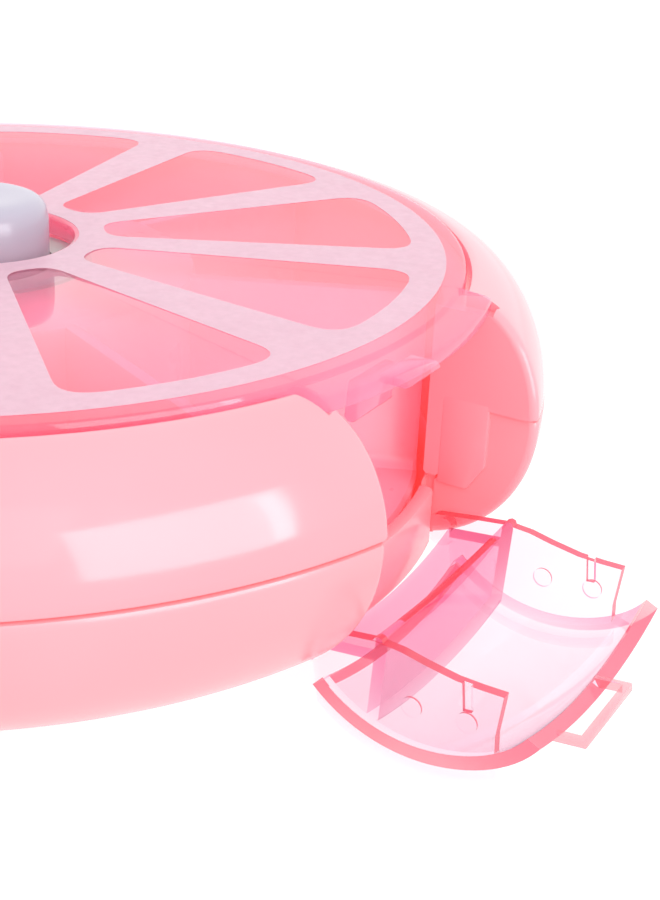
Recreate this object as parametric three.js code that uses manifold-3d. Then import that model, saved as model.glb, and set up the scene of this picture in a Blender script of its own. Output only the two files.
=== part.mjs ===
// Push-button rotary pill case: a round two-shell case, a clear lid, a seven-bay tray that a press
// of the centre button indexes, and a clear door that swings down at one side.
// Millimetres. +Z is up on the tray's axis, the origin is on the underside, the door faces -Y.
import * as THREE from "three";
import { mergeVertices } from "three/addons/utils/BufferGeometryUtils.js";
import Module from "manifold-3d";

const wasm = await Module();
wasm.setup();

// ---------------------------------------------------------------- driving dimensions
const CASE_R = 45; // widest radius of the case
const WIDEST_Z = 11.3; // height of the widest radius
const SEAM_Z = 12; // where the upper shell meets the lower shell
const SEAM_GAP = 0.12;
const SHELL = 2; // wall of both shells
const FOOT_R = 34.3; // where the rounded side runs into the flat underside
const TOP_R = 38.5; // inner edge of the upper shell, around the lid
const TOP_Z = 20.6; // highest point of the upper shell
const RING_SEGMENTS = 72;

const WALL_IN = 36.3; // wall that closes the tray's bays outside
const WALL_OUT = 37.5;
const SILL_Z = 5.4; // top of the low wall under the door opening
const FLOOR_Z = 1.8;
const FOOT_RECESS = 0.6; // the underside stands on an outer ring and a pad at its centre
const CENTRE_PAD_R = 9;

const LID_R = 38.2;
const LID_Z = 21; // top face
const LID_THICK = 1.5;
const LID_HOLE_R = 7.5;
const TAB_R = 40.5; // the lid's tab over the door opening
const TAB_HALF = 12.2;
const LATCH_X = -3.6; // middle of the catch and of the door's loop

const GAP_HALF = 11.5; // door opening in both shells
const END_WALL = 1.8; // walls that close the shells at the opening
const RIB_OUT = 39.6; // outer edge of the guide rib on each end wall
const RIB_PROUD = 0.35;

const HINGE_V = 36.95; // door axis, counted out from the tray's axis
const HINGE_Z = 1.95;
const DOOR_OPEN = 84; // degrees from shut to the open rest pose
const DOOR_HALF = 10.8;
const DOOR_WALL = 1.3;
const CHEEK = 0.9;
const DOOR_LOW = 2.7;
const DOOR_TOP = 19.3;

const TRAY_R = 35.5;
const BAYS = 7;
const TRAY_FLOOR = 3;
const TRAY_WALL = 1.2;
const TRAY_TOP = 18.9;
const DRUM_R = 17; // closed middle of the tray, over the drive
const SLEEVE_R = 9.4;
const HUB_BORE = 7.6;
const INDEX_TEETH_R = 22;

const BUTTON_R = 5.6;
const BUTTON_TOP = 24.1;
const BUTTON_WALL = 1.1;
const STROKE = 2.5;
const STEP = (2 * Math.PI) / BAYS; // the tray's turn for one press

const TRACK_R = 26; // ring on the case's floor that the tray rides on
const TRACK_RISE = 1.1;
const PAWL_X = 18.5;
const PAWL_Y = 4;

// ---------------------------------------------------------------- solids
const deg = (a) => (a * Math.PI) / 180;

// A closed three.js geometry as a solid, turned face out if its triangles face in.
function solid(geometry) {
  const g = geometry.index ? geometry : geometry.clone();
  for (const name of ["normal", "uv"]) g.deleteAttribute(name);
  const merged = mergeVertices(g, 1e-4);
  const verts = merged.attributes.position.array;
  const tris = new Uint32Array(merged.index.array);
  const make = () => new wasm.Manifold(new wasm.Mesh({ numProp: 3, vertProperties: verts, triVerts: tris }));
  const first = make();
  if (first.volume() > 0) return first;
  for (let i = 0; i < tris.length; i += 3) [tris[i], tris[i + 1]] = [tris[i + 1], tris[i]];
  return make();
}

const join = (...solids) => solids.reduce((all, s) => all.add(s));

function box(x0, x1, y0, y1, z0, z1) {
  const g = new THREE.BoxGeometry(x1 - x0, y1 - y0, z1 - z0);
  return solid(g.translate((x0 + x1) / 2, (y0 + y1) / 2, (z0 + z1) / 2));
}

// An upright cylinder, centred on (x, y).
function post(r, z0, z1, x = 0, y = 0, segments = 24) {
  const g = new THREE.CylinderGeometry(r, r, z1 - z0, segments).rotateX(Math.PI / 2);
  return solid(g.translate(x, y, (z0 + z1) / 2));
}

// A cylinder along X, centred on (y, z).
function rod(r, x0, x1, y, z, segments = 20) {
  const g = new THREE.CylinderGeometry(r, r, x1 - x0, segments).rotateZ(Math.PI / 2);
  return solid(g.translate((x0 + x1) / 2, y, z));
}

// A closed outline of (radius, height) points turned about the Z axis.
function turned(outline, segments = RING_SEGMENTS) {
  const points = [...outline, outline[0]].map(([r, z]) => new THREE.Vector2(r, z));
  return solid(new THREE.LatheGeometry(points, segments).rotateX(Math.PI / 2));
}

function tube(rIn, rOut, z0, z1, segments = RING_SEGMENTS) {
  return turned([[rIn, z0], [rOut, z0], [rOut, z1], [rIn, z1]], segments);
}

// An outline in the plane of distance out from the axis (-Y) and height, extruded along X.
function side(outline, x0, x1) {
  const shape = new THREE.Shape(outline.map(([v, z]) => new THREE.Vector2(v, z)));
  const g = new THREE.ExtrudeGeometry(shape, { depth: x1 - x0, bevelEnabled: false, curveSegments: 12 });
  const turn = new THREE.Matrix4().makeBasis(
    new THREE.Vector3(0, -1, 0),
    new THREE.Vector3(0, 0, 1),
    new THREE.Vector3(1, 0, 0),
  );
  return solid(g.applyMatrix4(turn).translate(x0, 0, 0));
}

function moved(s, matrix) {
  return s.transform(matrix.elements);
}

const spun = (s, angle) => moved(s, new THREE.Matrix4().makeRotationZ(angle));
const mirrored = (s) => moved(s, new THREE.Matrix4().makeScale(-1, 1, 1));

// A ramp around the axis from angle a0 to a1: flat at z0, its top running from low to high.
function ramp(rIn, rOut, a0, a1, z0, low, high, steps = 4) {
  const position = [];
  const index = [];
  for (let i = 0; i <= steps; i += 1) {
    const t = i / steps;
    const a = a0 + (a1 - a0) * t;
    const top = low + (high - low) * t;
    for (const [r, z] of [[rIn, z0], [rOut, z0], [rOut, top], [rIn, top]]) {
      position.push(r * Math.cos(a), r * Math.sin(a), z);
    }
  }
  for (let i = 0; i < steps; i += 1) {
    for (let k = 0; k < 4; k += 1) {
      const a = 4 * i + k;
      const b = 4 * i + ((k + 1) % 4);
      index.push(a, b, b + 4, a, b + 4, a + 4);
    }
  }
  const last = 4 * steps;
  index.push(0, 2, 1, 0, 3, 2, last, last + 1, last + 2, last, last + 2, last + 3);
  const g = new THREE.BufferGeometry();
  g.setAttribute("position", new THREE.Float32BufferAttribute(position, 3));
  g.setIndex(index);
  return solid(g);
}

// ---------------------------------------------------------------- case profile
// The rounded side is two quarter ellipses that meet at the widest radius. An inset gives the
// inner surface. Points run from height z0 up to z1.
function caseCurve(z0, z1, inset, count) {
  const at = (z) => {
    const rise = z > WIDEST_Z ? TOP_Z - WIDEST_Z : WIDEST_Z;
    return Math.asin(THREE.MathUtils.clamp((z - WIDEST_Z) / (rise - inset), -1, 1));
  };
  const from = at(z0);
  const to = at(z1);
  const points = [];
  for (let i = 0; i <= count; i += 1) {
    const a = from + ((to - from) * i) / count;
    const start = a > 0 ? TOP_R : FOOT_R;
    const rise = a > 0 ? TOP_Z - WIDEST_Z : WIDEST_Z;
    const r = start + (CASE_R - start - inset) * Math.cos(a);
    points.push([r, WIDEST_Z + (rise - inset) * Math.sin(a)]);
  }
  return points;
}

// Both end walls' places, beside the door opening, over an outline of distance out and height. They
// start inside the opening, which then cuts them flush with the shell.
function endSlabs(outline) {
  const slab = side(outline, GAP_HALF - 0.5, GAP_HALF + END_WALL);
  return slab.add(mirrored(slab));
}

const doorOpening = box(-GAP_HALF, GAP_HALF, -CASE_R - 2, -30, -1, TOP_Z + 1);

// ---------------------------------------------------------------- lower shell
function lowerShell() {
  const top = SEAM_Z - SEAM_GAP / 2;
  const floorEdge = FOOT_R - 5.5;
  const under = 3; // inner surface at the bottom of the side
  const inside = caseCurve(under, top - 1.4, SHELL, 6);
  const rim = CASE_R - SHELL;
  let shell = turned([
    [0, 0],
    [CENTRE_PAD_R, 0],
    [CENTRE_PAD_R + FOOT_RECESS, FOOT_RECESS],
    [floorEdge, FOOT_RECESS],
    [floorEdge + FOOT_RECESS, 0],
    ...caseCurve(0, top, 0, 10),
    [0, top],
  ]);

  // The well that the tray turns in, with a low ring that the tray's floor rides on.
  const well = turned([
    [0, FLOOR_Z],
    [TRACK_R, FLOOR_Z],
    [TRACK_R, FLOOR_Z + TRACK_RISE],
    [TRACK_R + 1.2, FLOOR_Z + TRACK_RISE],
    [TRACK_R + 1.2, FLOOR_Z],
    [WALL_IN, FLOOR_Z],
    [WALL_IN, SILL_Z],
    [WALL_OUT - 0.6, SILL_Z],
    [WALL_OUT + 0.4, SILL_Z - 1],
    [WALL_OUT + 0.4, top + 1],
    [0, top + 1],
  ]);
  // The hollow side, with the groove that the upper shell's bead snaps into.
  const hollow = turned([
    [WALL_OUT, under],
    ...inside,
    [rim, top - 1.3],
    [rim + 0.3, top - 1],
    [rim + 0.3, top - 0.6],
    [rim, top - 0.3],
    [rim, top + 1],
    [WALL_OUT, top + 1],
  ]);
  const seat = RIB_OUT + 0.2;
  const endWall = [[34.8, -1], [50, -1], [50, top + 2], [seat, top + 2], [seat, 5], [34.8, 5]];
  shell = shell.subtract(well.add(hollow).subtract(endSlabs(endWall)));

  // Door opening: everything outside the sill goes, and the sill stops short of the door's cheeks.
  const outside = doorOpening.subtract(post(WALL_OUT, -2, TOP_Z + 2, 0, 0, RING_SEGMENTS));
  const cheekSlot = box(9.7, GAP_HALF, -CASE_R - 2, -34.6, -1, TOP_Z + 1);
  const notch = box(GAP_HALF - 1, GAP_HALF + 0.9, -41, -seat - 0.1, 10.6, SEAM_Z + 1);
  const socket = rod(0.85, GAP_HALF - 1, GAP_HALF + 1.5, -HINGE_V, HINGE_Z);
  const cuts = join(cheekSlot, notch, socket);
  shell = shell.subtract(join(outside, cuts, mirrored(cuts)));

  // Centre column: a tube with a slot that keys the button's stem, and a collar under the spring.
  const column = join(post(3, FLOOR_Z - 0.3, 15), post(4.2, 5, 12.4));
  shell = shell.add(column.subtract(box(-1.65, 1.65, -1.15, 1.15, 6, 16)));

  // Pin that carries the index pawl.
  return shell.add(post(0.9, FLOOR_Z - 0.3, 2.4, PAWL_X, PAWL_Y, 14));
}

// ---------------------------------------------------------------- upper shell
function upperShell() {
  const low = SEAM_Z + SEAM_GAP / 2;
  const ledge = LID_Z - LID_THICK - 0.1;
  const tongue = CASE_R - SHELL - 0.2;
  let shell = turned([
    [WALL_IN, SILL_Z + 0.3],
    [WALL_OUT, SILL_Z + 0.3],
    [WALL_OUT, low],
    [tongue - 0.8, low],
    [tongue - 0.8, low - 1.5],
    [tongue, low - 1.5],
    [tongue, low - 1.2],
    [tongue + 0.25, low - 1],
    [tongue + 0.25, low - 0.8],
    [tongue, low - 0.5],
    [tongue, low],
    ...caseCurve(low, TOP_Z, 0, 10),
    [TOP_R, ledge],
    [WALL_IN, ledge],
  ]);
  const hollow = turned([
    [WALL_OUT, low - 0.1],
    [tongue - 0.8, low - 0.1],
    ...caseCurve(low + 0.4, TOP_Z - SHELL - 0.3, SHELL, 6),
    [TOP_R + 0.6, ledge - 1.3],
    [WALL_OUT, ledge - 1.3],
  ]);
  const wall = [[35.9, low - 1], [50, low - 1], [50, 30], [35.9, 30]];
  shell = shell.subtract(hollow.subtract(endSlabs(wall)));

  // The tongue stops at the lower shell's end walls, and everything stops at the door opening.
  const tongueEnd = box(0, GAP_HALF + END_WALL + 0.4, -CASE_R, -RIB_OUT - 0.02, 5, low);
  shell = shell.subtract(join(tongueEnd, mirrored(tongueEnd), doorOpening));

  // A guide rib on each end wall that runs on down to the hinge.
  const rib = side(
    [[35.7, 5.2], [38.2, 5.2], [RIB_OUT, 7.4], [RIB_OUT, ledge - 0.2], [35.7, ledge - 0.2]],
    GAP_HALF - RIB_PROUD,
    GAP_HALF + 0.9,
  );
  const tabSeat = box(0, TAB_HALF + 0.3, -39.2, -36, ledge, TOP_Z + 1);
  return shell.add(rib.add(mirrored(rib))).subtract(tabSeat.add(mirrored(tabSeat)));
}

// ---------------------------------------------------------------- lid
function lidSolid() {
  const low = LID_Z - LID_THICK;
  const edge = 0.35;
  let lid = turned([
    [LID_HOLE_R, low],
    [LID_R, low],
    [LID_R, LID_Z - edge],
    [LID_R - edge, LID_Z],
    [LID_HOLE_R + edge, LID_Z],
    [LID_HOLE_R, LID_Z - edge],
  ]);
  let tab = turned([
    [LID_R - 2, low],
    [TAB_R, low],
    [TAB_R, LID_Z - 0.8],
    [TAB_R - edge, LID_Z - 0.3],
    [LID_R - 2, LID_Z - 0.3],
  ]);
  tab = tab.intersect(box(-TAB_HALF, TAB_HALF, -CASE_R, -30, low - 1, LID_Z + 1));
  lid = lid.add(tab);
  // Catch for the door's loop: a nose on the tab's outer face, over a short tongue that stiffens it.
  const nose = side([[TAB_R - 1.5, 19.75], [41, 19.75], [41.3, 20], [41, 20.4], [TAB_R - 1.5, 20.4]], -2.2, 2.2);
  const tongue = side([[36.9, 20], [36.7, 16.9], [37, 16.6], [37.4, 16.6], [37.7, 16.9], [37.7, 20]], -2.5, 2.5);
  return lid.add(moved(nose.add(tongue), new THREE.Matrix4().makeTranslation(LATCH_X, 0, 0)));
}

// ---------------------------------------------------------------- door, built shut
function doorSolid() {
  const skinOut = turned([[30, DOOR_LOW], ...caseCurve(DOOR_LOW, DOOR_TOP, 0, 14), [30, DOOR_TOP]]);
  const between = box(-DOOR_HALF, DOOR_HALF, -CASE_R - 1, -30, 0, DOOR_TOP + 3);
  const body = skinOut.intersect(between);

  const inner = caseCurve(DOOR_LOW - 1, DOOR_TOP + 0.4, DOOR_WALL, 14);
  const core = turned([[28, DOOR_LOW - 1], ...inner, [28, DOOR_TOP + 0.4]]);
  const skin = body.subtract(core);

  // Cheeks: the tongue-shaped side plates, which carry the hinge pins.
  const cheekOutline = [
    [HINGE_V - 1.3, HINGE_Z],
    [35.5, 7.6],
    [36.4, 11.2],
    [37.1, 13.7],
    [37.4, 16.8],
    [40.6, 16.1],
    [46, 16.1],
    [46, DOOR_LOW],
    [HINGE_V + 0.6, DOOR_LOW],
  ];
  const plate = side(cheekOutline, DOOR_HALF - CHEEK, DOOR_HALF).intersect(body.add(
    box(-DOOR_HALF, DOOR_HALF, -HINGE_V - 1, -34, HINGE_Z, 8),
  ));
  const eye = rod(1.3, DOOR_HALF - CHEEK, DOOR_HALF, -HINGE_V, HINGE_Z);
  const pin = rod(0.65, DOOR_HALF - CHEEK, DOOR_HALF + 1.9, -HINGE_V, HINGE_Z, 16);
  const pad = join(
    rod(0.75, DOOR_HALF - CHEEK, DOOR_HALF + 0.15, -39.7, 10.2, 18),
    rod(0.75, DOOR_HALF - CHEEK, DOOR_HALF + 0.15, -39.85, 14.2, 18),
  );
  const slot = box(DOOR_HALF - 0.35, DOOR_HALF + 1, -39.1, -36, 13.9, 14.5);
  const cheek = join(plate.subtract(slot), eye, pin, pad);

  // Shelf across the door, a little over the sill, with its inner edge bowed.
  const shelfSlab = side(
    [[34, 7.55], [46, 5.6], [46, 6.5], [34, 8.45]],
    -DOOR_HALF + 0.2,
    DOOR_HALF - 0.2,
  );
  const bowR = 110;
  const bow = post(bowR, 5, 9, 0, -35.7 + bowR, 160);
  const shelf = shelfSlab.subtract(bow).intersect(body.add(core.intersect(between)));

  // Curved web under the shelf, in front of the sill.
  const web = tube(37.9, 38.7, 2.8, 7.4)
    .intersect(box(-DOOR_HALF + 0.2, DOOR_HALF - 0.2, -CASE_R, -30, 0, 9));
  const webCut = side([[30, 7.6], [46, 5.8], [46, 12], [30, 12]], -DOOR_HALF, DOOR_HALF);

  // Latch loop on the free edge.
  const loopBar = 0.6;
  const loopHalf = 4.2;
  const loop = side([[40.75, DOOR_TOP - 1.2], [41.65, DOOR_TOP - 1.2], [41.65, 21.2], [40.75, 21.2]], -loopHalf, loopHalf)
    .subtract(side([[40, DOOR_TOP + 0.1], [43, DOOR_TOP + 0.1], [43, 21.2 - loopBar], [40, 21.2 - loopBar]], -3.4, 3.4));

  return join(
    skin,
    cheek,
    mirrored(cheek),
    shelf,
    web.subtract(webCut),
    moved(loop, new THREE.Matrix4().makeTranslation(LATCH_X, 0, 0)),
  );
}

// ---------------------------------------------------------------- tray
function traySolid() {
  const floorTop = TRAY_FLOOR + TRAY_WALL;
  const drumIn = DRUM_R - TRAY_WALL;
  const deck = TRAY_TOP - TRAY_WALL;
  const shoulder = TRAY_TOP - 1.6;
  let tray = turned([
    [HUB_BORE, TRAY_FLOOR],
    [SLEEVE_R, TRAY_FLOOR],
    [SLEEVE_R, deck],
    [drumIn, deck],
    [drumIn, TRAY_FLOOR],
    [TRAY_R, TRAY_FLOOR],
    [TRAY_R, floorTop],
    [DRUM_R + 1, floorTop],
    [DRUM_R + 0.3, floorTop + 0.3],
    [DRUM_R, floorTop + 1],
    [DRUM_R, TRAY_TOP - 0.4],
    [DRUM_R - 0.4, TRAY_TOP],
    [HUB_BORE + 1, TRAY_TOP],
    [HUB_BORE + 1, shoulder],
    [HUB_BORE, shoulder],
  ]);
  for (let i = 0; i < BAYS; i += 1) {
    const half = TRAY_WALL / 2;
    const fin = box(-half, half, -TRAY_R + 0.1, -DRUM_R + 0.5, floorTop - 0.3, TRAY_TOP);
    const foot = box(-half - 0.5, half + 0.5, -TRAY_R + 0.6, -DRUM_R + 0.5, floorTop - 0.2, floorTop + 0.4);
    tray = tray.add(spun(fin.add(foot), (i + 0.5) * STEP));
    // Drive teeth on the sleeve's shoulder, and index teeth under the floor.
    const a = i * STEP;
    tray = tray.add(
      ramp(HUB_BORE + 0.05, HUB_BORE + 0.45, a, a + STEP * 0.9, shoulder - 0.2, shoulder, shoulder + 0.5),
    );
    tray = tray.add(
      ramp(drumIn + 0.2, INDEX_TEETH_R, a, a + STEP * 0.1, TRAY_FLOOR - 0.5, TRAY_FLOOR + 0.2, TRAY_FLOOR + 0.2, 1),
    );
  }
  return tray;
}

// ---------------------------------------------------------------- drive crown
// A sleeve inside the tray's hub. The button's two lugs run down its helical slots and turn it by
// one bay, and the teeth under its flange carry the tray round with it.
const LUG_Z = 14.9;
function crownSolid() {
  const shoulder = TRAY_TOP - 1.6;
  let crown = tube(5.95, 7.2, 9.6, TRAY_TOP, 48);
  crown = crown.add(tube(6.2, 8.3, TRAY_TOP - 0.7, TRAY_TOP, 42));
  for (let i = 0; i < BAYS; i += 1) {
    const end = i * STEP + STEP * 0.86;
    crown = crown.add(ramp(7.05, 8, end, end + STEP * 0.1, shoulder + 0.7, TRAY_TOP - 0.5, TRAY_TOP - 0.5, 1));
  }
  const steps = 10;
  for (let lug = 0; lug < 2; lug += 1) {
    for (let i = 0; i <= steps; i += 1) {
      const t = i / steps;
      const cut = box(-1.15, 1.15, 5, 8, LUG_Z - 1.05 - STROKE * t, LUG_Z + 1.05 - STROKE * t);
      crown = crown.subtract(spun(cut, lug * Math.PI - STEP * t));
    }
  }
  return crown;
}

// ---------------------------------------------------------------- button
function buttonSolid() {
  const round = 1.1;
  const top = [];
  for (let i = 0; i <= 5; i += 1) {
    const a = (Math.PI / 2) * (i / 5);
    top.push([BUTTON_R - round + round * Math.cos(a), BUTTON_TOP - round + round * Math.sin(a)]);
  }
  const inside = BUTTON_R - BUTTON_WALL;
  let button = turned([
    [0, 22.3],
    [inside, 22.3],
    [inside, 13.4],
    [BUTTON_R, 13.4],
    ...top,
    [0, BUTTON_TOP],
  ], 48);
  button = button.add(box(-1.4, 1.4, -0.9, 0.9, 9.6, 22.6));
  const lug = box(-0.8, 0.8, BUTTON_R - 0.5, 6.9, LUG_Z - 0.7, LUG_Z + 0.7);
  return join(button, lug, spun(lug, Math.PI));
}

// ---------------------------------------------------------------- return spring
function springSolid() {
  const wire = 0.25;
  const radius = 3.72;
  const low = 12.75;
  const high = 21.95;
  const turns = 6;
  const perTurn = 14;
  class Helix extends THREE.Curve {
    getPoint(t, target = new THREE.Vector3()) {
      const a = t * turns * 2 * Math.PI;
      return target.set(radius * Math.cos(a), radius * Math.sin(a), low + (high - low) * t);
    }
  }
  const section = new THREE.Shape();
  section.absarc(0, 0, wire, 0, 2 * Math.PI);
  return solid(new THREE.ExtrudeGeometry(section, {
    steps: turns * perTurn,
    curveSegments: 6,
    extrudePath: new Helix(),
  }));
}

// ---------------------------------------------------------------- index pawl
// A springy arm on a pin of the lower shell, whose tip rides under the tray's index teeth.
function pawlSolid() {
  const arm = box(-0.5, 0.5, -8.4, 0, 1.95, 2.35);
  const eye = post(1.9, 1.95, 2.35, 0, 0, 20);
  const hole = post(1.05, 1, 3, 0, 0, 16);
  return join(arm, eye).subtract(hole);
}

// ---------------------------------------------------------------- assembly
const plastic = (color, roughness, extra = {}) => ({ color, roughness, metalness: 0, ...extra });
const CLEAR_PINK = plastic(0xf47f96, 0.08, { transparent: true, opacity: 0.55 });
const CASE_PINK = plastic(0xfbb7c3, 0.28);
const TRAY_PINK = plastic(0xf7929f, 0.35);
const WHITE = plastic(0xf1f0f4, 0.25);
const STEEL = { color: 0xb9bcc0, roughness: 0.3, metalness: 1 };

function piece(name, s, look) {
  const out = s.getMesh();
  const geometry = new THREE.BufferGeometry();
  geometry.setAttribute("position", new THREE.BufferAttribute(out.vertProperties, 3));
  geometry.setIndex(new THREE.BufferAttribute(out.triVerts, 1));
  geometry.computeVertexNormals();
  const mesh = new THREE.Mesh(geometry, new THREE.MeshStandardMaterial(look));
  mesh.name = name;
  return mesh;
}

const pillCase = new THREE.Group();
pillCase.add(piece("lower_shell", lowerShell(), CASE_PINK));
pillCase.add(piece("upper_shell", upperShell(), CASE_PINK));
pillCase.add(piece("lid", lidSolid(), CLEAR_PINK));
pillCase.add(piece("tray", traySolid(), TRAY_PINK));
pillCase.add(piece("drive_crown", crownSolid(), TRAY_PINK));
pillCase.add(piece("push_button", buttonSolid(), WHITE));
pillCase.add(piece("return_spring", springSolid(), STEEL));

const pawl = piece("index_pawl", pawlSolid(), WHITE);
pawl.position.set(PAWL_X, PAWL_Y, 0);
pillCase.add(pawl);

// The door hangs on its axis, turned down from shut by its opening angle.
const hinge = new THREE.Group();
hinge.position.set(0, -HINGE_V, HINGE_Z);
hinge.rotation.x = deg(DOOR_OPEN);
const door = piece("door", doorSolid(), CLEAR_PINK);
door.position.set(0, HINGE_V, -HINGE_Z);
hinge.add(door);
pillCase.add(hinge);

export default pillCase;
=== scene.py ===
import math

import bmesh
import bpy
from mathutils import Matrix, Vector


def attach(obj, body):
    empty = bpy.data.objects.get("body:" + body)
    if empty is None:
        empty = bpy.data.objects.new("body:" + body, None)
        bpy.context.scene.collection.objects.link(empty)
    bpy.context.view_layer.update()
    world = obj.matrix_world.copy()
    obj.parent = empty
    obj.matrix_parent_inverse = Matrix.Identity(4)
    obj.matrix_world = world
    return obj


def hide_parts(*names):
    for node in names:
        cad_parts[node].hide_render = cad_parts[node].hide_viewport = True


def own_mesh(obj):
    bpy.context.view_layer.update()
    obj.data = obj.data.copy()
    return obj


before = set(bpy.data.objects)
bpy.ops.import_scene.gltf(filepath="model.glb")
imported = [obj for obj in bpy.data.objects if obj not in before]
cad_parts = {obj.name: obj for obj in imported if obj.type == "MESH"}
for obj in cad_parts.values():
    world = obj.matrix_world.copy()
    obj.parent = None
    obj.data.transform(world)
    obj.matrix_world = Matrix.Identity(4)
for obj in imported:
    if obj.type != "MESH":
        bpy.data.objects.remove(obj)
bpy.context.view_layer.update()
MM = 0.001
SHARP_ANGLE = 32  # degrees between two faces, above which their edge is shaded sharp

# ---------------------------------------------------------------- sizes, in millimetres
CASE_R, WIDEST_Z, FOOT_R = 45.0, 11.3, 34.3
TOP_R, TOP_Z = 38.5, 20.6
SEAM_Z, SEAM_GAP, SEAM_ROUND = 12.0, 0.12, 0.25
WALL_IN, WALL_OUT = 36.3, 37.5
SILL_Z, FLOOR_Z = 5.4, 1.8
LEDGE_Z = 19.4
UPPER_END, LOWER_END, END_ROUND = 11.3, 11.6, 0.7
LID_LOW, LID_TOP, LID_R, LID_HOLE = 19.5, 21.0, 38.2, 7.5
TAB_R, TAB_HALF = 40.5, 12.2
LATCH_X = -3.6
HINGE_V, HINGE_Z, DOOR_OPEN = 36.95, 1.95, 84.0
DOOR_HALF, DOOR_WALL, CHEEK = 10.8, 1.0, 0.9
DOOR_LOW, DOOR_TOP = 2.7, 19.3
CHEEK_TOP, HINGE_PIN_R, PAD_R = 16.1, 0.65, 0.75
SHELF_IN, SHELF_OUT, SHELF_BOW, SHELF_SLOPE, SHELF_TOP = 35.7, 43.1, 110.0, 0.1625, 8.7
CHEEK_STEP = 0.12  # the side plates sit this far inside the ends of the door's skin
TRAY_R, TRAY_FLOOR, TRAY_WALL, TRAY_TOP = 35.5, 3.0, 1.2, 18.9
DRUM_R, SLEEVE_R, HUB_BORE, BAYS = 17.0, 9.4, 7.6, 7
BUTTON_R, BUTTON_TOP, BUTTON_WALL = 5.6, 24.1, 1.1
BUTTON_ROOF, BUTTON_SKIRT, STEM_LOW, LUG_Z, STROKE = 22.3, 13.4, 9.6, 14.9, 2.5
SPRING_R, WIRE_R, SPRING_LOW, SPRING_HIGH, SPRING_TURNS = 3.72, 0.25, 12.75, 21.95, 6
PRINT_Z, PRINT_OUT, PRINT_IN = 21.02, 36.6, 7.9
WINDOWS, WINDOW_OUT, WINDOW_TIP, WINDOW_TURN = 10, 34.2, 9.9, 9.0
RIM_ROUND, TIP_ROUND = 2.6, 1.6
SPOKE_HALF, SPOKE_FLARE = 0.835, 0.0565  # half the width of a spoke at the centre, and its growth per mm


# ---------------------------------------------------------------- mesh helpers
def polar(r, angle, z):
    """A point at an angle from the door side, -Y, towards +X."""
    return (r * math.sin(angle), -r * math.cos(angle), z)


def skinned(columns, wrap):
    """Points and faces of the surface through columns of equal length, each a closed outline."""
    n, m = len(columns), len(columns[0])
    points = [p for column in columns for p in column]
    faces = []
    for i in range(n if wrap else n - 1):
        j = (i + 1) % n
        for k in range(m):
            after = (k + 1) % m
            faces.append((i * m + k, i * m + after, j * m + after, j * m + k))
    if not wrap:
        faces.append(tuple(range(m)))
        faces.append(tuple((n - 1) * m + k for k in reversed(range(m))))
    return points, faces


def lathe(outline, steps=160):
    columns = [[polar(r, 2 * math.pi * i / steps, z) for r, z in outline] for i in range(steps)]
    return skinned(columns, True)


def prism(outline, x0, x1):
    """An outline of (distance out, height) extruded across the door."""
    return skinned([[(x, -v, z) for v, z in outline] for x in (x0, x1)], False)


def cylinder(r, x0, x1, v, z):
    steps = 40
    turn = [2 * math.pi * i / steps for i in range(steps)]
    return prism([(v + r * math.cos(a), z + r * math.sin(a)) for a in turn], x0, x1)


def block(x0, x1, y0, y1, z0, z1):
    columns = [[(x, y0, z0), (x, y1, z0), (x, y1, z1), (x, y0, z1)] for x in (x0, x1)]
    return skinned(columns, False)


def merged(*shapes):
    points, faces = [], []
    for p, f in shapes:
        start = len(points)
        points += p
        faces += [tuple(i + start for i in face) for face in f]
    return points, faces


def mark_sharp(bm, sharp):
    for face in bm.faces:
        face.smooth = len(face.verts) < 9
    for edge in bm.edges:
        edge.smooth = len(edge.link_faces) == 2 and edge.calc_face_angle(0) < math.radians(sharp)


def thing(name, shape, sharp=SHARP_ANGLE):
    points, faces = shape
    bm = bmesh.new()
    made = [bm.verts.new(Vector(p) * MM) for p in points]
    for face in faces:
        bm.faces.new([made[i] for i in face])
    bmesh.ops.remove_doubles(bm, verts=bm.verts, dist=1e-7)
    bmesh.ops.recalc_face_normals(bm, faces=bm.faces)
    mark_sharp(bm, sharp)
    mesh = bpy.data.meshes.new(name)
    bm.to_mesh(mesh)
    bm.free()
    obj = bpy.data.objects.new(name, mesh)
    bpy.context.scene.collection.objects.link(obj)
    return obj


def bake(obj):
    bpy.context.view_layer.update()
    made = obj.evaluated_get(bpy.context.evaluated_depsgraph_get())
    mesh = bpy.data.meshes.new_from_object(made)
    obj.modifiers.clear()
    obj.data = mesh
    return obj


def resharpen(obj):
    bm = bmesh.new()
    bm.from_mesh(obj.data)
    bmesh.ops.remove_doubles(bm, verts=bm.verts, dist=1e-7)
    mark_sharp(bm, SHARP_ANGLE)
    bm.to_mesh(obj.data)
    bm.free()
    return obj


def bevelled(obj, width):
    mod = obj.modifiers.new("edge", "BEVEL")
    mod.width = width * MM
    mod.segments = 2
    mod.limit_method = "ANGLE"
    mod.angle_limit = math.radians(SHARP_ANGLE)
    return resharpen(bake(obj))


def combined(obj, others, operation):
    """obj joined with the others, or cut by them. The others are used up."""
    for other in others:
        mod = obj.modifiers.new("bool", "BOOLEAN")
        mod.operation = operation
        mod.solver = "MANIFOLD"
        mod.object = other
    bake(obj)
    for other in others:
        bpy.data.objects.remove(other)
    return resharpen(obj)


def finished(obj, body, look, slot, *nodes):
    obj.data.materials.clear()
    obj.data.materials.append(look)
    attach(obj, body)
    if nodes:
        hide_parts(*nodes)
    return obj


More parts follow.
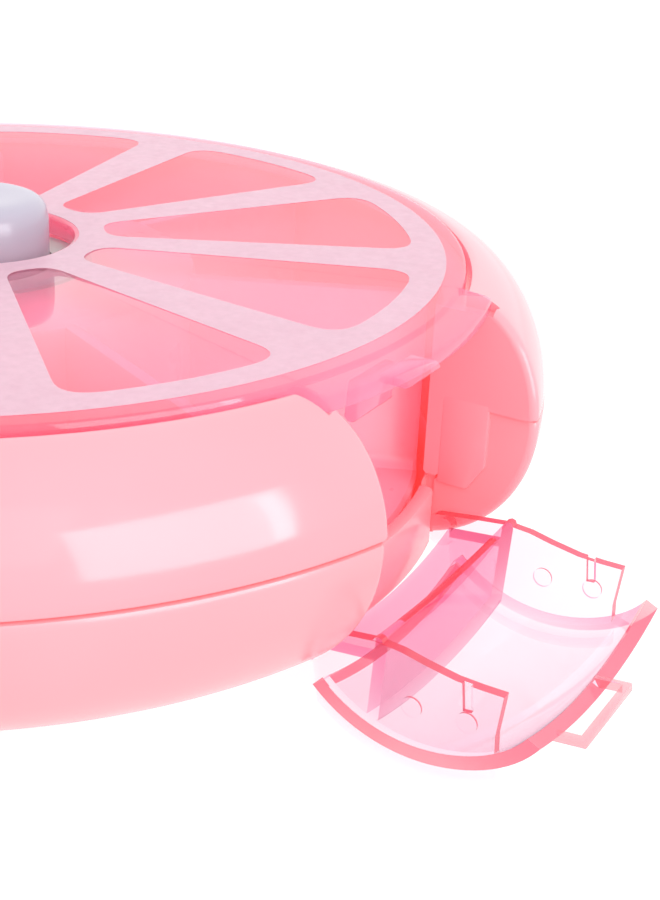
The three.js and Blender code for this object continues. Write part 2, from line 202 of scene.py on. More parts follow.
# ---------------------------------------------------------------- materials
class Graph:
    """A material's node tree, with short calls for the nodes used here."""

    def __init__(self, name):
        self.material = bpy.data.materials.new(name)
        self.material.use_nodes = True
        self.tree = self.material.node_tree
        self.tree.nodes.clear()
        self.out = self.node("ShaderNodeOutputMaterial")
        self.place = self.node("ShaderNodeTexCoord").outputs["Object"]

    def node(self, kind, **values):
        made = self.tree.nodes.new(kind)
        for key, value in values.items():
            if hasattr(made, key):
                setattr(made, key, value)
            else:
                made.inputs[key.replace("_", " ")].default_value = value
        return made

    def link(self, a, b):
        self.tree.links.new(a, b)

    def noise(self, scale, detail=3.0):
        made = self.node("ShaderNodeTexNoise", Scale=scale, Detail=detail, Roughness=0.5)
        self.link(self.place, made.inputs["Vector"])
        return made.outputs["Fac"]

    def spread(self, value, low, high):
        """A noise value, which mostly lies between 0.3 and 0.7, spread from low to high."""
        made = self.node("ShaderNodeMapRange")
        for key, number in (("From Min", 0.3), ("From Max", 0.7), ("To Min", low), ("To Max", high)):
            made.inputs[key].default_value = number
        self.link(value, made.inputs["Value"])
        return made.outputs["Result"]

    def blend(self, value, one, two):
        made = self.node("ShaderNodeMix", data_type="RGBA")
        made.inputs["A"].default_value = (*one, 1)
        made.inputs["B"].default_value = (*two, 1)
        self.link(value, made.inputs["Factor"])
        return made.outputs["Result"]

    def outside(self, value, lift=0.0):
        """The value, and at least lift, on faces seen from outside, and 0 on faces seen from within."""
        if lift:
            floor = self.node("ShaderNodeMath", operation="MAXIMUM")
            floor.inputs[1].default_value = lift
            self.link(value, floor.inputs[0])
            value = floor.outputs["Value"]
        within = self.node("ShaderNodeNewGeometry").outputs["Backfacing"]
        keep = self.node("ShaderNodeMath", operation="SUBTRACT")
        keep.inputs[0].default_value = 1.0
        self.link(within, keep.inputs[1])
        made = self.node("ShaderNodeMath", operation="MULTIPLY")
        self.link(value, made.inputs[0])
        self.link(keep.outputs["Value"], made.inputs[1])
        return made.outputs["Value"]

    def mixed(self, share, one, two):
        made = self.node("ShaderNodeMixShader")
        if isinstance(share, float):
            made.inputs["Fac"].default_value = share
        else:
            self.link(share, made.inputs["Fac"])
        self.link(one, made.inputs[1])
        self.link(two, made.inputs[2])
        return made.outputs["Shader"]

    def bump(self, height, strength, distance=0.0002):
        made = self.node("ShaderNodeBump", Strength=strength, Distance=distance)
        self.link(height, made.inputs["Height"])
        return made.outputs["Normal"]


def shade(color, k):
    return tuple(min(1.0, c * k) for c in color)


def plastic(name, color, low, high, grain=0.03, wave=0.04, painted_glow=0.0):
    """Moulded plastic: faint flow marks in colour and gloss, and a fine tool grain.

    The glow strength sets a painted glow: a constant red emission over the whole surface that stands in
    for the light a translucent wall passes from its lit side, and keeps gaps red where they would be in
    shade.
    """
    g = Graph(name)
    bsdf = g.node("ShaderNodeBsdfPrincipled", IOR=1.49)
    flow = g.noise(55.0, 2.0)
    mottled = g.blend(g.spread(flow, 0, 1), shade(color, 1.0 - wave), shade(color, 1.0 + wave))
    g.link(mottled, bsdf.inputs["Base Color"])
    g.link(g.spread(g.noise(320.0, 4.0), low, high), bsdf.inputs["Roughness"])
    g.link(g.bump(g.noise(2600.0, 2.0), grain, 0.00005), bsdf.inputs["Normal"])
    if painted_glow:
        # painted glow: a constant red emission in place of light passed through the wall
        bsdf.inputs["Emission Color"].default_value = (1.0, 0.12, 0.10, 1)
        bsdf.inputs["Emission Strength"].default_value = painted_glow
    g.link(bsdf.outputs["BSDF"], g.out.inputs["Surface"])
    return g.material


def clear_plastic(name, tint, haze, cover, rough, depth=None, edge_glow=False):
    """Clear tinted plastic that light passes straight through, with a milky share and a glossy skin.

    depth is the colour and density of the plastic's body, where its thickness deepens the tint.
    With edge_glow the milky share shows only on faces seen from outside, as light piped to an edge does.
    """
    g = Graph(name)
    clear = g.node("ShaderNodeBsdfTransparent")
    tone = g.spread(g.noise(90.0, 3.0), 0, 1)
    if edge_glow:
        g.link(g.blend(g.outside(tone, 0.6), (1.0, 0.98, 0.99), tint), clear.inputs["Color"])
    else:
        g.link(g.blend(tone, shade(tint, 0.985), tint), clear.inputs["Color"])
    milk = g.node("ShaderNodeBsdfDiffuse", Color=(*haze, 1))
    glow = g.node("ShaderNodeBsdfTranslucent", Color=(*haze, 1))
    body = g.mixed(0.5, milk.outputs["BSDF"], glow.outputs["BSDF"])
    share = g.spread(g.noise(260.0, 3.0), cover * 0.9, cover * 1.1)
    body = g.mixed(g.outside(share) if edge_glow else share, clear.outputs["BSDF"], body)
    gloss = g.node("ShaderNodeBsdfGlossy")
    g.link(g.spread(g.noise(400.0, 3.0), rough, rough + 0.05), gloss.inputs["Roughness"])
    g.link(g.bump(g.noise(45.0, 2.0), 0.05, 0.0005), gloss.inputs["Normal"])
    edge = g.node("ShaderNodeFresnel", IOR=1.5)
    g.link(g.mixed(g.outside(edge.outputs["Fac"]), body, gloss.outputs["BSDF"]), g.out.inputs["Surface"])
    if depth:
        color, density = depth
        volume = g.node("ShaderNodeVolumeAbsorption", Color=(*color, 1), Density=density)
        g.link(volume.outputs["Volume"], g.out.inputs["Volume"])
    return g.material


def film(name, color, cover):
    """Pad-printed ink: a thin milky coat with a faint mottle in its cover."""
    g = Graph(name)
    clear = g.node("ShaderNodeBsdfTransparent")
    ink = g.node("ShaderNodeBsdfPrincipled", IOR=1.45)
    mottled = g.blend(g.spread(g.noise(140.0, 3.0), 0, 1), shade(color, 0.97), color)
    g.link(mottled, ink.inputs["Base Color"])
    g.link(g.spread(g.noise(700.0, 3.0), 0.3, 0.42), ink.inputs["Roughness"])
    share = g.spread(g.noise(1500.0, 4.0), cover - 0.04, cover + 0.03)
    g.link(g.mixed(share, clear.outputs["BSDF"], ink.outputs["BSDF"]), g.out.inputs["Surface"])
    return g.material


def steel(name):
    g = Graph(name)
    bsdf = g.node("ShaderNodeBsdfPrincipled", Metallic=1.0)
    g.link(g.blend(g.noise(900.0), (0.55, 0.56, 0.58), (0.7, 0.7, 0.72)), bsdf.inputs["Base Color"])
    g.link(g.spread(g.noise(1800.0, 4.0), 0.22, 0.4), bsdf.inputs["Roughness"])
    g.link(bsdf.outputs["BSDF"], g.out.inputs["Surface"])
    return g.material


# The case and tray plastics carry a painted glow, a red emission standing in for light through their
# walls.
UPPER_PINK = plastic("upper_case_pink", (0.985, 0.29, 0.335), 0.09, 0.13, 0.012, painted_glow=0.2)
LOWER_PINK = plastic("lower_case_pink", (0.985, 0.30, 0.34), 0.16, 0.23, 0.02, painted_glow=0.2)
TRAY_PINK = plastic("tray_rose", (0.99, 0.40, 0.51), 0.25, 0.36, 0.05, painted_glow=0.2)
LID_PINK = clear_plastic("lid_clear_rose", (1.0, 0.83, 0.91), (0.98, 0.52, 0.68), 0.22, 0.03)
PRINT = film("lid_ink", (0.65, 0.41, 0.50), 0.85)
DOOR_PINK = clear_plastic(
    "door_clear_rose", (1.0, 0.985, 0.995), (0.9, 0.75, 0.85), 0.02, 0.03, ((0.93, 0.08, 0.45), 85.0)
)
DOOR_EDGE = clear_plastic(
    "door_edge_rose", (1.0, 0.66, 0.70), (0.95, 0.19, 0.22), 0.5, 0.06, ((0.93, 0.08, 0.40), 110.0), True
)
DOOR_DEEP = clear_plastic(
    "door_shelf_rose", (1.0, 0.80, 0.90), (0.95, 0.35, 0.48), 0.1, 0.04, ((0.93, 0.08, 0.40), 110.0)
)
WHITE = plastic("button_white", (0.40, 0.37, 0.45), 0.2, 0.27, 0.02, wave=0.01)
ACETAL = plastic("acetal_white", (0.6, 0.59, 0.57), 0.4, 0.55, 0.08)
STEEL = steel("spring_wire")


# ---------------------------------------------------------------- case
def side_point(a, inset=0.0):
    """A point of the rounded side at parameter a, from -90 degrees at the foot to 90 at the top."""
    start = TOP_R if a > 0 else FOOT_R
    rise = TOP_Z - WIDEST_Z if a > 0 else WIDEST_Z
    return (
        start + (CASE_R - start - inset) * math.cos(a),
        WIDEST_Z + (rise - inset) * math.sin(a),
    )


def side_at_z(z):
    rise = TOP_Z - WIDEST_Z if z > WIDEST_Z else WIDEST_Z
    return math.asin(max(-1.0, min(1.0, (z - WIDEST_Z) / rise)))


def side_normal(r, z):
    upper = z > WIDEST_Z
    start = TOP_R if upper else FOOT_R
    rise = TOP_Z - WIDEST_Z if upper else WIDEST_Z
    n = Vector(((r - start) / (CASE_R - start) ** 2, (z - WIDEST_Z) / rise**2))
    return n.normalized()


def side_run(a0, a1, count):
    return [side_point(a0 + (a1 - a0) * i / count) for i in range(count + 1)]


def ring_columns(outer, inner, end_x, steps):
    """Columns of a ring that is open at the door: outer points are drawn in where the ends are rounded."""
    profile = [(r, z, side_normal(r, z)) for r, z in outer] + [(r, z, Vector((0, 0))) for r, z in inner]
    ends = []
    for i in range(7):
        a = math.pi / 2 * i / 6
        ends.append((end_x + END_ROUND * (1 - math.cos(a)), END_ROUND * (1 - math.sin(a))))

    def column(angle_of, inset):
        made = []
        for r, z, n in profile:
            at_r, at_z = r - inset * n[0], z - inset * n[1]
            made.append(polar(at_r, angle_of(at_r), at_z))
        return made

    columns = [column(lambda r, x=x: math.asin(x / r), inset) for x, inset in ends]
    last = end_x + END_ROUND
    for i in range(1, steps):
        t = i / steps

        def angle(r, t=t):
            start = math.asin(last / r)
            return start + (2 * math.pi - 2 * start) * t

        columns.append(column(angle, 0.0))
    for x, inset in reversed(ends):
        columns.append(column(lambda r, x=x: 2 * math.pi - math.asin(x / r), inset))
    return columns


def upper_ring():
    low = SEAM_Z + SEAM_GAP / 2
    edge_r = side_point(side_at_z(low))[0]
    outer = [(edge_r - SEAM_ROUND, low), (edge_r - 0.08, low + 0.08)]
    outer += side_run(side_at_z(low + SEAM_ROUND), math.radians(87), 22)
    inner = [
        (TOP_R + 0.12, TOP_Z - 0.09), (TOP_R, TOP_Z - 0.35),
        (TOP_R, LEDGE_Z), (WALL_IN, LEDGE_Z),
        (WALL_IN, SILL_Z + 0.5), (WALL_IN + 0.2, SILL_Z + 0.3),
        (WALL_OUT - 0.2, SILL_Z + 0.3), (WALL_OUT, SILL_Z + 0.5), (WALL_OUT, low),
    ]
    ring = thing("upper_ring", skinned(ring_columns(outer, inner, UPPER_END, 190), False))
    seats = []
    for side in (-1, 1):
        x0, x1 = sorted((side * 10.9, side * (TAB_HALF + 0.3)))
        seats.append(thing("seat", block(x0, x1, -39.2, -36.0, LEDGE_Z + 0.01, TOP_Z + 1)))
    return combined(ring, seats, "DIFFERENCE")


def lower_ring():
    top = SEAM_Z - SEAM_GAP / 2
    edge_r = side_point(side_at_z(top))[0]
    outer = side_run(math.radians(-73), side_at_z(top - SEAM_ROUND), 26)
    outer += [(edge_r - 0.08, top - 0.08), (edge_r - SEAM_ROUND, top)]
    foot_r = outer[0][0]
    inner = [
        (WALL_OUT + 0.12, top), (WALL_OUT + 0.12, SILL_Z + 0.2),
        (foot_r - 0.2, SILL_Z - 0.2), (foot_r - 0.2, 1.6),
    ]
    return thing("lower_ring", skinned(ring_columns(outer, inner, LOWER_END, 190), False))


def base_plate():
    tuck = 0.03
    foot = [(r - tuck, z + tuck) for r, z in side_run(math.radians(-89.5), math.radians(-73), 5)]
    base = thing("base_plate", lathe([
        (0, 0), (9, 0), (9.6, 0.6), (28.8, 0.6), (29.4, 0), *foot,
        (WALL_OUT, 0.8), (WALL_OUT, SILL_Z - 0.35),
        (WALL_OUT - 0.1, SILL_Z - 0.1), (WALL_OUT - 0.35, SILL_Z),
        (WALL_IN + 0.35, SILL_Z), (WALL_IN + 0.1, SILL_Z - 0.1), (WALL_IN, SILL_Z - 0.35),
        (WALL_IN, FLOOR_Z), (27.2, FLOOR_Z), (27.2, 2.9), (26, 2.9), (26, FLOOR_Z), (0, FLOOR_Z),
    ], 180))
    slots = []
    for side in (-1, 1):
        x0, x1 = sorted((side * 9.7, side * (LOWER_END + 0.3)))
        slots.append(thing("slot", block(x0, x1, -47.0, -34.6, -1, 9)))
    return combined(base, slots, "DIFFERENCE")


def guide_rib(side):
    x0, x1 = sorted((side * 11.28, side * 12.6))
    outline = [(35.7, 5.2), (38.2, 5.2), (39.6, 7.4), (39.6, 12.5), (35.7, 12.5)]
    rib = thing("guide_rib_right" if side > 0 else "guide_rib_left", prism(outline, x0, x1))
    return bevelled(rib, 0.15)


def column_tube():
    return thing("centre_column", lathe([
        (0, 1.7), (4.2, 1.7), (4.2, 12.2), (4.0, 12.4), (3.0, 12.4), (3.0, 14.8), (2.8, 15),
        (2.1, 15), (1.9, 14.8), (1.9, 6), (0, 6),
    ], 48))


finished(upper_ring(), "case", UPPER_PINK, "case_pink", "upper_shell")
finished(lower_ring(), "case", LOWER_PINK, "case_pink", "lower_shell")
finished(base_plate(), "case", LOWER_PINK, "case_pink")
finished(column_tube(), "case", LOWER_PINK, "case_pink")
for side in (-1, 1):
    finished(guide_rib(side), "case", UPPER_PINK, "case_pink")


# ---------------------------------------------------------------- lid and its print
def lid_body():
    corner = math.asin(TAB_HALF / TAB_R)
    soft = math.radians(0.9)
    angles = {2 * math.pi * i / 240 - math.pi for i in range(240)}
    for end in (-corner, corner):
        angles |= {end + soft * (i / 6 - 1) for i in range(13)}

    def tab(angle):
        t = max(0.0, min(1.0, (corner - abs(angle)) / soft + 0.5))
        return t * t * (3 - 2 * t)

    columns = []
    for angle in sorted(angles):
        t = tab(angle)
        r = LID_R + (TAB_R - LID_R) * t
        drop = 0.3 * t
        columns.append([polar(at_r, angle, z) for at_r, z in (
            (LID_HOLE, LID_LOW), (r - 0.25, LID_LOW), (r - 0.07, LID_LOW + 0.07), (r, LID_LOW + 0.25),
            (r, LID_TOP - 0.3 - drop), (r - 0.09, LID_TOP - 0.09 - drop), (r - 0.3, LID_TOP - drop),
            (LID_R - 0.31 + 0.28 * t, LID_TOP - 0.002 - drop), (LID_R - 0.36, LID_TOP),
            (LID_HOLE + 0.3, LID_TOP), (LID_HOLE + 0.09, LID_TOP - 0.09), (LID_HOLE, LID_TOP - 0.3),
        )])
    return thing("lid_body", skinned(columns, True))


def catch():
    nose = prism(
        [(39.0, 19.75), (41, 19.75), (41.3, 20), (41, 20.4), (39.0, 20.4)],
        LATCH_X - 2.2, LATCH_X + 2.2,
    )
    tongue = prism(
        [(36.9, 19.49), (36.7, 16.9), (37, 16.6), (37.4, 16.6), (37.7, 16.9), (37.7, 19.49)],
        LATCH_X - 2.5, LATCH_X + 2.5,
    )
    return bevelled(thing("lid_catch", tongue), 0.12), bevelled(thing("lid_nose", nose), 0.1)


def eased(corner, before, after, radius):
    """A rounded corner: points from the side towards before to the side towards after."""
    count = 8
    c, b, a = Vector(corner), Vector(before), Vector(after)
    start, end = c + (b - c).normalized() * radius, c + (a - c).normalized() * radius
    points = []
    for i in range(count + 1):
        t = i / count
        points.append(tuple(start * (1 - t) ** 2 + c * 2 * t * (1 - t) + end * t * t))
    return points


def turned(point, angle):
    x, y = point
    return (x * math.cos(angle) - y * math.sin(angle), x * math.sin(angle) + y * math.cos(angle))


def window_outline():
    """One wedge window about the +X axis, between two straight spokes that widen outwards."""
    spoke = math.radians(180 / WINDOWS)

    def edge(s):
        w = SPOKE_HALF + SPOKE_FLARE * s
        return (s * math.cos(spoke) + w * math.sin(spoke), s * math.sin(spoke) - w * math.cos(spoke))

    along = [edge(0.05 * i) for i in range(2000)]
    tip = next(p for p in along if p[0] > WINDOW_TIP)
    rim = next(p for p in along if math.hypot(*p) > WINDOW_OUT)
    half = math.atan2(rim[1], rim[0])
    arc = [turned((WINDOW_OUT, 0.0), half * (1 - i / 12)) for i in range(25)]
    near = turned(arc[0], -0.1)
    corners = eased(tip, (tip[0], 0.0), rim, TIP_ROUND) + eased(rim, tip, near, RIM_ROUND)
    past = half - RIM_ROUND / WINDOW_OUT
    bow = [p for p in arc if abs(math.atan2(p[1], p[0])) < past]
    return corners + bow + [(x, -y) for x, y in reversed(corners)]


def lid_print():
    curve = bpy.data.curves.new("lid_print", "CURVE")
    curve.dimensions = "2D"
    curve.fill_mode = "BOTH"
    curve.extrude = 0.015 * MM

    def ring(points):
        line = curve.splines.new("POLY")
        line.points.add(len(points) - 1)
        for place, (x, y) in zip(line.points, points):
            place.co = (x * MM, y * MM, 0, 1)
        line.use_cyclic_u = True

    for r in (PRINT_OUT, PRINT_IN):
        ring([turned((r, 0.0), math.radians(a)) for a in range(0, 360, 2)])
    for k in range(WINDOWS):
        turn = math.radians(WINDOW_TURN + 360 / WINDOWS * k - 90)
        ring([turned(point, turn) for point in window_outline()])
    source = bpy.data.objects.new("print_curve", curve)
    bpy.context.scene.collection.objects.link(source)
    bpy.context.view_layer.update()
    mesh = bpy.data.meshes.new_from_object(source.evaluated_get(bpy.context.evaluated_depsgraph_get()))
    bpy.data.objects.remove(source)
    mesh.transform(Matrix.Translation((0, 0, PRINT_Z * MM)))
    made = bpy.data.objects.new("lid_print", mesh)
    bpy.context.scene.collection.objects.link(made)
    return made


finished(lid_body(), "case", LID_PINK, "clear_pink", "lid")
for part in catch():
    finished(part, "case", LID_PINK, "clear_pink")
finished(lid_print(), "case", PRINT, "clear_pink")


# ---------------------------------------------------------------- tray and button
def tray_shape():
    floor = TRAY_FLOOR + TRAY_WALL
    deck = TRAY_TOP - TRAY_WALL
    drum = lathe([
        (HUB_BORE, TRAY_FLOOR), (SLEEVE_R, TRAY_FLOOR), (SLEEVE_R, deck), (DRUM_R - TRAY_WALL, deck),
        (DRUM_R - TRAY_WALL, TRAY_FLOOR), (TRAY_R - 0.2, TRAY_FLOOR), (TRAY_R, TRAY_FLOOR + 0.2),
        (TRAY_R, floor - 0.3), (TRAY_R - 0.3, floor), (DRUM_R + 1.3, floor), (DRUM_R + 0.7, floor + 0.12),
        (DRUM_R + 0.25, floor + 0.45), (DRUM_R, floor + 1.1), (DRUM_R, TRAY_TOP - 0.5),
        (DRUM_R - 0.15, TRAY_TOP - 0.15), (DRUM_R - 0.5, TRAY_TOP), (HUB_BORE + 1.3, TRAY_TOP),
        (HUB_BORE + 1, TRAY_TOP - 0.3), (HUB_BORE + 1, TRAY_TOP - 1.6), (HUB_BORE, TRAY_TOP - 1.6),
    ], 160)
    shapes = [drum]
    half = TRAY_WALL / 2
    section = [
        (half + 0.9, floor - 0.1), (half + 0.35, floor + 0.25), (half, floor + 0.9),
        (half, TRAY_TOP - 0.5), (half - 0.12, TRAY_TOP - 0.14), (half - 0.4, TRAY_TOP),
    ]
    section += [(-x, z) for x, z in reversed(section)]
    for k in range(BAYS):
        turn = 2 * math.pi * (k + 0.5) / BAYS
        columns = []
        for v in (DRUM_R - 0.4, TRAY_R - 0.35, TRAY_R - 0.1):
            squeeze = 0.75 if v > TRAY_R - 0.2 else 1.0
            columns.append([(*turned((x * squeeze, -v), turn), z) for x, z in section])
        shapes.append(skinned(columns, False))
    return merged(*shapes)


def button_shape():
    top = [
        (BUTTON_R * share, BUTTON_TOP - drop) for share, drop in (
            (0.99, 1.5), (0.97, 0.95), (0.93, 0.55), (0.87, 0.25), (0.79, 0.08),
            (0.7, 0.0), (0.5, 0.06), (0.25, 0.14), (0.0, 0.16),
        )
    ]
    bore = BUTTON_R - BUTTON_WALL
    cap = lathe([
        (0, BUTTON_ROOF), (bore, BUTTON_ROOF), (bore, BUTTON_SKIRT), (BUTTON_R - 0.2, BUTTON_SKIRT),
        (BUTTON_R, BUTTON_SKIRT + 0.2), (BUTTON_R, BUTTON_TOP - 2.0), *top,
    ], 96)
    stem = block(-1.4, 1.4, -0.9, 0.9, STEM_LOW, BUTTON_ROOF + 0.3)
    lugs = [block(-0.8, 0.8, *sorted((y * 5.1, y * 6.9)), LUG_Z - 0.7, LUG_Z + 0.7) for y in (-1, 1)]
    return merged(cap, stem, *lugs)


def spring_shape():
    """The return spring's wire, as a helix of round sections."""
    around, section = 28, 10
    columns = []
    for i in range(SPRING_TURNS * around + 1):
        share = i / (SPRING_TURNS * around)
        turn = 2 * math.pi * SPRING_TURNS * share
        z = SPRING_LOW + (SPRING_HIGH - SPRING_LOW) * share
        ring = []
        for k in range(section):
            a = 2 * math.pi * k / section
            r = SPRING_R + WIRE_R * math.cos(a)
            ring.append((r * math.cos(turn), r * math.sin(turn), z + WIRE_R * math.sin(a)))
        columns.append(ring)
    return skinned(columns, False)


finished(thing("bay_tray", tray_shape()), "tray", TRAY_PINK, "tray_pink", "tray")
finished(thing("button_cap", button_shape(), 50), "button", WHITE, "white_button", "push_button")
spring = finished(thing("spring_wire", spring_shape(), 60), "case", STEEL, "spring_steel", "return_spring")
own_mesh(spring)
for node in ("drive_crown", "index_pawl"):
    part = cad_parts[node]
    part.data.materials.clear()
    part.data.materials.append(ACETAL)


# ---------------------------------------------------------------- door, built shut and swung open
def door_sector(outline, half, steps=48):
    columns = []
    for i in range(steps + 1):
        share = 2 * i / steps - 1
        columns.append([polar(r, math.asin(half / r) * share, z) for r, z in outline])
    return skinned(columns, False)


def door_skin():
    a0, a1 = side_at_z(DOOR_LOW), side_at_z(DOOR_TOP)
    out = side_run(a0, a1, 26)
    back = [side_point(a1 + (a0 - a1) * i / 26, DOOR_WALL) for i in range(27)]
    return thing("door_body", door_sector(out + back, DOOR_HALF))


def door_cheek(side):
    high, low = side_at_z(CHEEK_TOP), side_at_z(DOOR_LOW)
    edge = [side_point(high + (low - high) * i / 18, 0.25) for i in range(19)]
    outline = [
        (HINGE_V - 1.3, HINGE_Z), (35.55, 4.8), (35.5, 7.6), (35.85, 9.5), (36.4, 11.2), (37.0, 13.4),
        (37.25, 15.2), (37.4, 16.8), (40.4, 16.15), *edge, (HINGE_V + 0.6, DOOR_LOW),
    ]
    x0, x1 = sorted((side * (DOOR_HALF - CHEEK), side * (DOOR_HALF - CHEEK_STEP)))
    plate = thing("cheek", prism(outline, x0, x1))
    parts = []
    inner, outer = DOOR_HALF - CHEEK, DOOR_HALF - CHEEK_STEP
    for r, v, z, end in (
        (1.3, HINGE_V, HINGE_Z, outer), (HINGE_PIN_R, HINGE_V, HINGE_Z, outer + 1.9),
        (PAD_R, 39.7, 10.2, outer + 0.15), (PAD_R, 39.85, 14.2, outer + 0.15),
    ):
        a, b = sorted((side * (inner + 0.001), side * end))
        parts.append(thing("boss", cylinder(r, a, b, v, z)))
    plate = combined(plate, parts, "UNION")
    a, b = sorted((side * (outer - 0.35), side * (outer + 1)))
    return combined(plate, [thing("groove", block(a, b, -39.1, -36, 13.9, 14.5))], "DIFFERENCE")


def door_shelf():
    """The shelf that keeps pills in: a bowed inner edge, and a slope down to the door's skin."""
    half = DOOR_HALF - 0.2
    columns = []
    for i in range(33):
        u = half * (2 * i / 32 - 1)
        v_in = SHELF_IN - SHELF_BOW + math.sqrt(SHELF_BOW * SHELF_BOW - u * u)
        v_out = math.sqrt(SHELF_OUT**2 - u * u)
        outline = [
            (v_in + 0.12, -0.3), (v_in, 0.0), (v_in + 0.12, 0.3), (v_in + 0.45, 0.45),
            (v_out, 0.45), (v_out, -0.45), (v_in + 0.45, -0.45),
        ]
        columns.append([(u, -v, 8.0 - SHELF_SLOPE * (v - 34) + dz) for v, dz in outline])
    return thing("shelf", skinned(columns, False))


def door_loop():
    foot, top, bar = DOOR_TOP - 0.8, 21.2, 0.55
    v0, v1, half = 40.95, 41.6, 4.2
    frame_in = [(foot, -half), (foot, half), (top, half), (top, -half)]
    gap = half - bar
    hole = [(foot - 1, -gap), (foot - 1, gap), (top - bar, gap), (top - bar, -gap)]
    parts = []
    for outline, a, b in ((frame_in, v0, v1), (hole, v0 - 1, v1 + 1)):
        columns = [[(LATCH_X + u, -v, z) for z, u in outline] for v in (a, b)]
        parts.append(thing("loop", skinned(columns, False)))
    return combined(bevelled(parts[0], 0.12), [parts[1]], "DIFFERENCE")


def split_wide_faces(obj):
    """Flat outlines with many corners become triangles, so that each part of them takes its own look."""
    bm = bmesh.new()
    bm.from_mesh(obj.data)
    bmesh.ops.triangulate(bm, faces=[face for face in bm.faces if len(face.verts) > 4])
    bm.to_mesh(obj.data)
    bm.free()


def door_part(face):
    """Which look a face of the shut door takes: 0 clear wall, 1 narrow edge of a wall, 2 shelf or web."""
    x, y, z = (c / MM for c in face.center)
    n = face.normal
    r = math.hypot(x, y)
    outward = (n.x * x + n.y * y) / r
    upper = z > WIDEST_Z
    rise = (TOP_Z - WIDEST_Z if upper else WIDEST_Z) - DOOR_WALL
    start = TOP_R if upper else FOOT_R
    height = max(-1.0, min(1.0, (z - WIDEST_Z) / rise))
    wall_r = start + (CASE_R - start - DOOR_WALL) * math.cos(math.asin(height))
    if z > DOOR_TOP + 0.05:
        return 1
    if abs(n.x) > 0.9:
        pad_face = DOOR_HALF + 0.02 < abs(x) < DOOR_HALF + 0.1
        return 1 if abs(x) > DOOR_HALF - 0.05 and not pad_face else 0
    slanted = 0.45 * -outward + 0.45 * abs(n.z) > 0.55
    at_lip = (z > DOOR_TOP - 1.3 or z < DOOR_LOW + 1.5) and r > 39.9
    if slanted and at_lip:
        return 1
    if abs(x) > DOOR_HALF - CHEEK - 0.05 and r < wall_r - 0.05:
        return 1
    shelf_nose = r < SHELF_IN + 0.6 and abs(n.z) < 0.8
    if shelf_nose:
        return 1
    return 2 if r < wall_r - 0.3 and z < SHELF_TOP else 0


def door():
    web_outline = [(37.9, 2.8), (38.7, 2.8), (38.7, 7.25), (37.9, 7.35)]
    web = thing("web", door_sector(web_outline, DOOR_HALF - 0.2, 32))
    body = combined(door_skin(), [door_cheek(-1), door_cheek(1), door_shelf(), web, door_loop()], "UNION")
    split_wide_faces(body)
    pivot = Vector((0, -HINGE_V, HINGE_Z)) * MM
    turn = Matrix.Rotation(math.radians(DOOR_OPEN), 4, "X")
    swing = Matrix.Translation(pivot) @ turn @ Matrix.Translation(-pivot)
    looks = [door_part(face) for face in body.data.polygons]
    body.data.transform(swing)
    body.name = "door_body"
    finished(body, "door", DOOR_PINK, "clear_pink", "door")
    body.data.materials.append(DOOR_EDGE)
    body.data.materials.append(DOOR_DEEP)
    body.data.polygons.foreach_set("material_index", looks)


door()


# ---------------------------------------------------------------- stage, light and camera
WORLD_LIGHT = 1.4  # the bright, evenly lit studio


def floor_look():
    g = Graph("stage_white")
    diffuse = g.node("ShaderNodeBsdfDiffuse")
    g.link(g.blend(g.noise(4.0), (0.2, 0.2, 0.2), (0.21, 0.21, 0.21)), diffuse.inputs["Color"])
    glow = g.node("ShaderNodeEmission", Strength=0.9)
    add = g.node("ShaderNodeAddShader")
    g.link(diffuse.outputs["BSDF"], add.inputs[0])
    g.link(glow.outputs["Emission"], add.inputs[1])
    g.link(add.outputs["Shader"], g.out.inputs["Surface"])
    return g.material


def stage():
    """A wide floor that touches the case's foot at the back and the open door at the front."""
    foot, rest_v, rest_z = -FOOT_R, 46.0, -5.13
    slope = math.atan2(rest_z, rest_v - foot)
    reach = 1500.0
    points = []
    for x in (-reach, reach):
        for v in (-reach, reach) if x < 0 else (reach, -reach):
            points.append((x, -v, (v - foot) * math.tan(slope) - 0.02))
    floor = thing("stage_floor", (points, [(0, 1, 2, 3)]))
    floor.data.materials.append(floor_look())


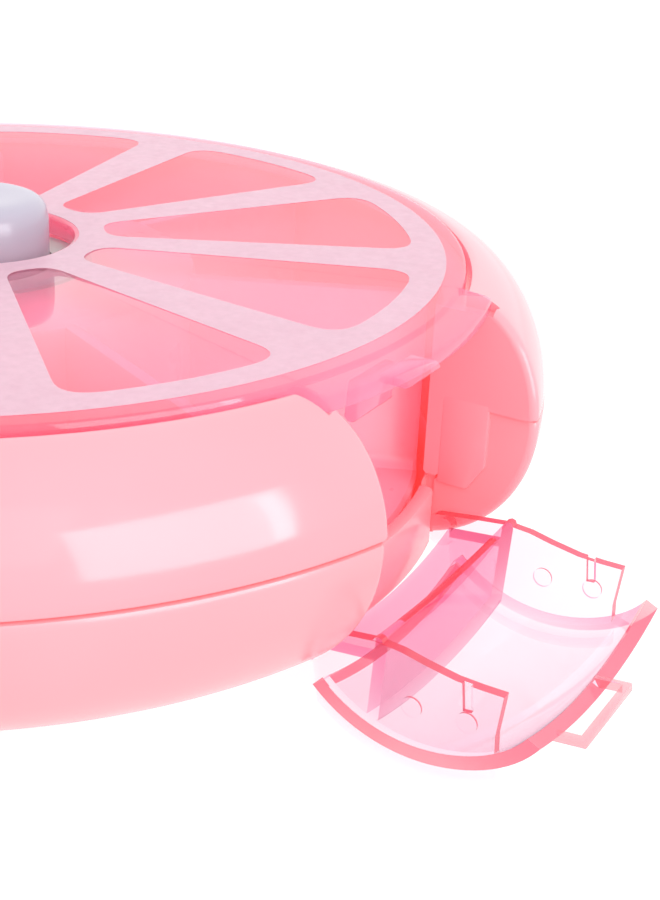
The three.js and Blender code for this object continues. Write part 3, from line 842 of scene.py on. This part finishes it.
def softbox(name, direction, distance, size, radiance, target, diffuse=True, glossy=True):
    """A rectangular lamp that faces target from a direction: azimuth from -Y towards +X, and elevation.

    The angles are in degrees, distance and size in metres, and target in millimetres.
    """
    a, e = (math.radians(angle) for angle in direction)
    width, height = size
    away = Vector((math.sin(a) * math.cos(e), -math.cos(a) * math.cos(e), math.sin(e)))
    lamp = bpy.data.lights.new(name, "AREA")
    lamp.shape = "RECTANGLE"
    lamp.size, lamp.size_y = width, height
    lamp.energy = radiance * math.pi * width * height
    obj = bpy.data.objects.new(name, lamp)
    bpy.context.scene.collection.objects.link(obj)
    obj.location = Vector(target) * MM + away * distance
    obj.rotation_euler = away.to_track_quat("Z", "Y").to_euler()
    obj.visible_camera = False
    obj.visible_diffuse = diffuse
    obj.visible_glossy = glossy


def camera():
    right = Vector((0.50373, -0.86266, 0.04552))
    up = Vector((0.33165, 0.24178, 0.91189))
    forward = Vector((0.79766, 0.44425, -0.40789))
    lens = bpy.data.cameras.new("camera")
    lens.lens = 64.505
    lens.sensor_width = 36.0
    lens.clip_start, lens.clip_end = 0.005, 20.0
    obj = bpy.data.objects.new("camera", lens)
    bpy.context.scene.collection.objects.link(obj)
    place = Vector((-91.862, -83.588, 58.105)) * MM
    turn = Matrix((right, up, -forward)).transposed().to_4x4()
    obj.matrix_world = Matrix.Translation(place) @ turn
    bpy.context.scene.camera = obj


scene = bpy.context.scene
world = bpy.data.worlds.new("studio")
world.use_nodes = True
world.node_tree.nodes["Background"].inputs["Color"].default_value = (1, 1, 1, 1)
world.node_tree.nodes["Background"].inputs["Strength"].default_value = WORLD_LIGHT
scene.world = world
scene.view_settings.view_transform = "Standard"

stage()
FRONT = (-25, -37, 14)  # the point on the near side of the case that the long highlights fall on
softbox("front_box", (-13, 12), 0.6, (0.46, 0.36), 4.6, FRONT, diffuse=False)
softbox("edge_box", (5, 11), 0.62, (0.045, 0.3), 4.0, FRONT, diffuse=False)
softbox("side_box", (-60, 28), 0.7, (0.6, 0.5), 0.55, (0, 0, 15))
softbox("opening_box", (-30, 24), 0.5, (0.25, 0.25), 3.2, (6, -36, 12), glossy=False)
camera()
